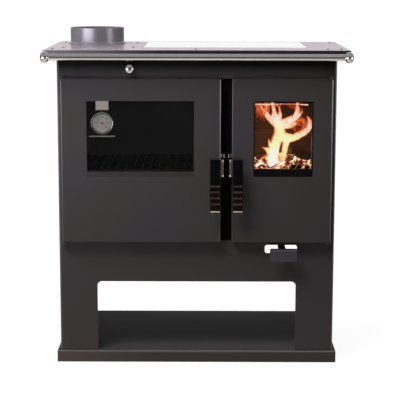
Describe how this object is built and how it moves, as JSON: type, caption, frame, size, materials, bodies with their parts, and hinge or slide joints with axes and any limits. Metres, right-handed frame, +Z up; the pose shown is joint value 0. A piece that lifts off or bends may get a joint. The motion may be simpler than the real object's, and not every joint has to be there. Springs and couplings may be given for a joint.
{
  "type": "wood cookstove",
  "caption": "Freestanding wood-burning cookstove: oven door and firebox door side by side, glass cooking plate, flue collar, towel rail and an open storage base.",
  "frame": {"origin": "on the floor, under the centre of the stove's outer box", "axes": "+X to the right seen from the front, -Y out of the front towards the user, +Z up"},
  "size_m": [0.823, 0.4999, 0.904],
  "materials": {
    "anthracite_paint": "satin, slightly pebbled stove paint",
    "brown_black_paint": "satin",
    "black_paint": "matt heat-proof paint",
    "hob_enamel": "glossy enamel on steel",
    "hob_glass_ceramic": "polished black glass-ceramic",
    "rope_fibre": "braided glass-fibre rope",
    "zinc_steel": "zinc plated",
    "chrome": "polished",
    "oven_enamel": "satin speckled enamel on steel",
    "fire_brick": "vermiculite brick, sooty",
    "cast_iron": "rough cast",
    "raw_steel": "aluminised sheet",
    "latch_steel": "bright edges",
    "pane_glass": "clear heat-proof glass",
    "dial_face": "printed dial",
    "needle_red": "red enamel"
  },
  "bodies": {
    "root": {"plinth": "brown_black_paint", "front_panel": "anthracite_paint", "left_side_panel": "anthracite_paint", "right_side_panel": "anthracite_paint", "back_panel": "black_paint", "floor_plate": "black_paint", "door_frame": "black_paint", "hob_frame": "hob_enamel", "hob_glass": "hob_glass_ceramic", "hob_seal": "rope_fibre", "hob_screws": "zinc_steel", "flue_collar": "black_paint", "towel_rail": "chrome", "rail_finials": "chrome", "rail_brackets": "anthracite_paint", "oven_box": "oven_enamel", "oven_runners": "oven_enamel", "oven_rack": "chrome", "firebox_casing": "black_paint", "fire_bricks": "fire_brick", "hearth_plate": "cast_iron", "grate": "cast_iron", "log_guard": "cast_iron", "ash_pan": "raw_steel", "hinge_brackets": "anthracite_paint", "hinge_pins": "zinc_steel", "latch_keeper": "black_paint", "fascia_rivets": "anthracite_paint", "damper_bush": "zinc_steel", "flue_box": "black_paint", "air_slide_guides": "raw_steel", "back_screws": "zinc_steel"},
    "damper": {"damper_knob": "chrome", "damper_rod": "zinc_steel", "damper_disc": "cast_iron"},
    "air_control": {"air_slide": "raw_steel", "air_lever": "black_paint"},
    "oven_door": {"oven_door_shell": "anthracite_paint", "oven_door_liner": "oven_enamel", "oven_door_glass": "pane_glass", "oven_glass_frame": "anthracite_paint", "oven_door_seal": "rope_fibre", "oven_hinge_bushes": "zinc_steel", "oven_latch_pivot": "zinc_steel", "thermometer_case": "chrome", "thermometer_dial": "dial_face", "thermometer_lens": "pane_glass", "thermometer_bracket": "black_paint"},
    "needle": {"thermometer_needle": "needle_red"},
    "oven_latch": {"oven_latch_lever": "latch_steel", "oven_latch_grip": "black_paint"},
    "firebox_door": {"firebox_door_shell": "anthracite_paint", "firebox_door_liner": "oven_enamel", "firebox_door_glass": "pane_glass", "firebox_glass_frame": "black_paint", "firebox_door_seal": "rope_fibre", "firebox_hinge_bushes": "zinc_steel", "firebox_latch_pivot": "zinc_steel"},
    "firebox_latch": {"firebox_latch_lever": "latch_steel", "firebox_latch_grip": "black_paint"}
  },
  "joints": [
    {"name": "oven_door_hinge", "type": "hinge", "parent": "root", "child": "oven_door", "pos_m": [-0.357, -0.198, 0.5], "axis": [0, 0, -1], "range_deg": [0, 110]},
    {"name": "firebox_door_hinge", "type": "hinge", "parent": "root", "child": "firebox_door", "pos_m": [0.357, -0.198, 0.5], "axis": [0, 0, 1], "range_deg": [0, 110]},
    {"name": "oven_latch_pivot", "type": "hinge", "parent": "oven_door", "child": "oven_latch", "pos_m": [0.07, -0.198, 0.576], "axis": [-1, 0, 0], "range_deg": [0, 35]},
    {"name": "firebox_latch_pivot", "type": "hinge", "parent": "firebox_door", "child": "firebox_latch", "pos_m": [0.089, -0.198, 0.576], "axis": [-1, 0, 0], "range_deg": [0, 35]},
    {"name": "damper_pull", "type": "slide", "parent": "root", "child": "damper", "axis": [0, -1, 0], "range_m": [0, 0.06]},
    {"name": "air_slide_travel", "type": "slide", "parent": "root", "child": "air_control", "axis": [1, 0, 0], "range_m": [-0.03, 0.03]},
    {"name": "needle_turn", "type": "hinge", "parent": "oven_door", "child": "needle", "pos_m": [-0.254, -0.196, 0.663], "axis": [0, 1, 0], "range_deg": [-70, 200], "stiffness_Nm_per_rad": 0.001}
  ]
}
